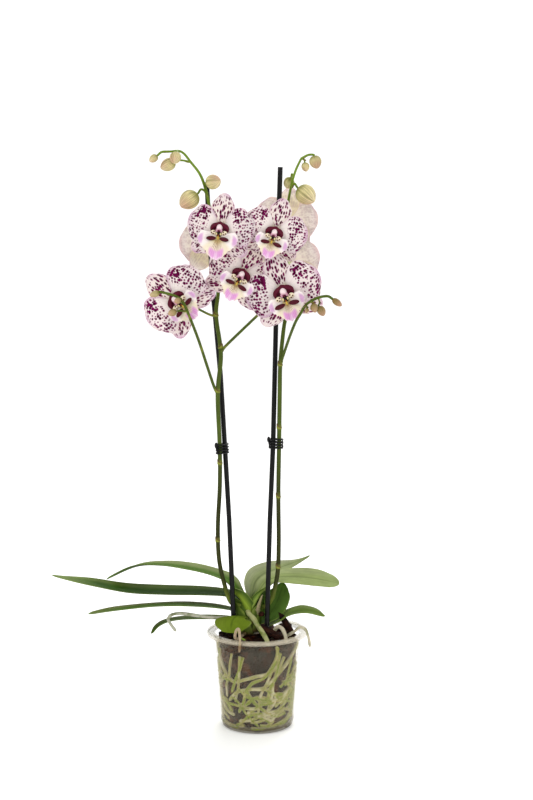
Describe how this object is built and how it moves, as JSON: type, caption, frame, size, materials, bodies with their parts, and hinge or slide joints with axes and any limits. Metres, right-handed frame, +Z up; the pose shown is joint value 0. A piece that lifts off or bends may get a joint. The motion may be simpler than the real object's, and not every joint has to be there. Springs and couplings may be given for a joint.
{
  "type": "potted orchid",
  "caption": "Moth orchid with arching leaves and two tied flower spikes of spotted white and violet blooms and buds, in a clear grower's pot of bark and roots.",
  "frame": {"origin": "middle of the pot's flat underside, on the surface that it stands on", "axes": "+Z up along the flower spikes, -Y towards the side that the front flowers face, +X to the right as seen from there"},
  "size_m": [0.3433, 0.1434, 0.6802],
  "materials": {
    "pot": "clear polypropylene, slightly milky, moulded",
    "bark": "coarse pine bark chips, matt",
    "root": "velvety grey-green root skin",
    "crown": "smooth green stem base",
    "leaf": "waxy dark green leaf",
    "sheath": "dry papery striped leaf base",
    "stick": "black satin plant stick",
    "clip": "black moulded plastic, ribbed",
    "stem": "olive green flower stem",
    "petal": "white petal, maroon dots and dashes, lilac edge",
    "lip": "violet-pink lip, yellow and maroon at its root",
    "bud": "green-cream bud with fine veins"
  },
  "bodies": {
    "root": {"aerial_root_front": "root", "aerial_root_left": "root", "aerial_root_over_rim": "root", "aerial_root_right": "root", "aerial_root_white": "root", "bark": "bark", "bloom_front_low_lip": "lip", "bloom_front_low_petals": "petal", "bloom_left_back_lip": "lip", "bloom_left_back_petals": "petal", "bloom_left_low_lip": "lip", "bloom_left_low_petals": "petal", "bloom_left_middle_lip": "lip", "bloom_left_middle_petals": "petal", "bloom_left_top_lip": "lip", "bloom_left_top_petals": "petal", "bloom_right_back_lip": "lip", "bloom_right_back_low_lip": "lip", "bloom_right_back_low_petals": "petal", "bloom_right_back_petals": "petal", "bloom_right_top_lip": "lip", "bloom_right_top_petals": "petal", "bud_left_low_1": "bud", "bud_left_low_2": "bud", "bud_left_low_3": "bud", "bud_left_top_1": "bud", "bud_left_top_2": "bud", "bud_left_top_3": "bud", "bud_left_top_4": "bud", "bud_left_top_5": "bud", "bud_right_low_1": "bud", "bud_right_low_2": "bud", "bud_right_low_3": "bud", "bud_right_low_4": "bud", "bud_right_top_1": "bud", "bud_right_top_2": "bud", "bud_right_top_3": "bud", "bud_right_top_4": "bud", "clip_left": "clip", "clip_right": "clip", "crown": "crown", "dry_sheath": "sheath", "leaf_left_front": "leaf", "leaf_left_long": "leaf", "leaf_left_low": "leaf", "leaf_left_middle": "leaf", "leaf_left_top": "leaf", "leaf_right_back": "leaf", "leaf_right_long": "leaf", "leaf_right_low": "leaf", "leaf_right_upright": "leaf", "pot": "pot", "roots_in_pot": "root", "spike_left": "stem", "spike_right": "stem", "stick_left": "stick", "stick_right": "stick"}
  },
  "joints": []
}
